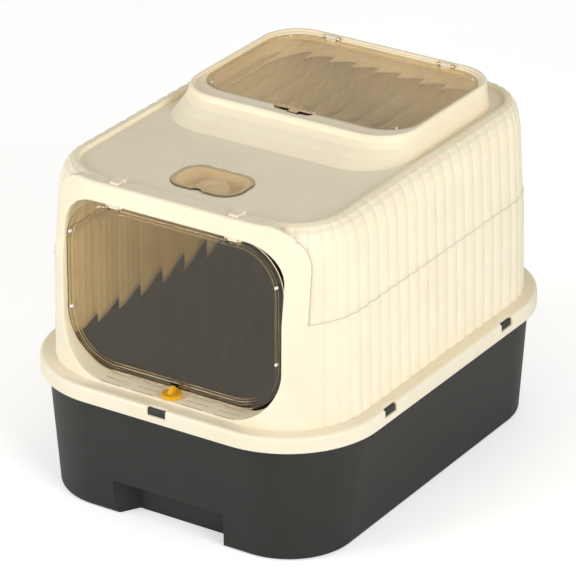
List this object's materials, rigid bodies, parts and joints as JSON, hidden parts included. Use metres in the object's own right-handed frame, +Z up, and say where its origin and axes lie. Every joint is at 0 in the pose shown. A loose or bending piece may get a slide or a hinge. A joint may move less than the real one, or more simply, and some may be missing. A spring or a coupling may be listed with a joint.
{
  "type": "hooded litter box",
  "caption": "Litter box: deep pan, fluted lift-off hood in two halves, clear flap door with turn lock, ribbed top lid and deodoriser cover.",
  "frame": {"origin": "on the floor under the middle of the skirt's outline", "axes": "+Z up, the entrance faces -Y, +X to the right of someone who faces the entrance; the two halves in X mirror each other"},
  "size_m": [0.4146, 0.54, 0.4098],
  "materials": {
    "charcoal_plastic": "fine matt grain",
    "clip_plastic": "matt",
    "cream_plastic": "satin",
    "amber_clear": "clear gloss",
    "white_rubber": "matt",
    "pin_steel": "turned",
    "cartridge_block": "pressed fibre",
    "yellow_plastic": "satin gloss"
  },
  "bodies": {
    "base": {"pan": "charcoal_plastic", "clip_front": "clip_plastic", "clip_rear": "clip_plastic", "clip_right_front": "clip_plastic", "clip_right_rear": "clip_plastic", "clip_left_front": "clip_plastic", "clip_left_rear": "clip_plastic"},
    "hood": {"lower_hood": "cream_plastic", "door_pins": "pin_steel"},
    "top": {"upper_hood": "cream_plastic", "lid_pins": "pin_steel", "cup": "cream_plastic", "cartridge": "cartridge_block"},
    "flap": {"door": "amber_clear", "door_bumpers": "white_rubber"},
    "lid": {"lid": "amber_clear", "lid_bumpers": "white_rubber"},
    "lock": {"lock_knob": "yellow_plastic", "lock_retainer": "yellow_plastic"},
    "cover": {"cover": "amber_clear"}
  },
  "joints": [
    {"name": "hood_lift", "type": "slide", "parent": "base", "child": "hood", "axis": [0, 0, 1], "range_m": [0, 0.25]},
    {"name": "top_lift", "type": "slide", "parent": "hood", "child": "top", "axis": [0, 0, 1], "range_m": [0, 0.2]},
    {"name": "door_swing", "type": "hinge", "parent": "hood", "child": "flap", "pos_m": [0, -0.232, 0.361], "axis": [1, 0, 0], "range_deg": [-75, 75]},
    {"name": "lid_swing", "type": "hinge", "parent": "top", "child": "lid", "pos_m": [0, 0.2, 0.4072], "axis": [-1, 0, 0], "range_deg": [0, 105]},
    {"name": "lock_turn", "type": "hinge", "parent": "hood", "child": "lock", "pos_m": [0, -0.24, 0.1605], "axis": [0, 0, 1], "range_deg": [0, 90]},
    {"name": "cover_lift", "type": "slide", "parent": "top", "child": "cover", "axis": [0, 0, 1], "range_m": [0, 0.05]}
  ]
}
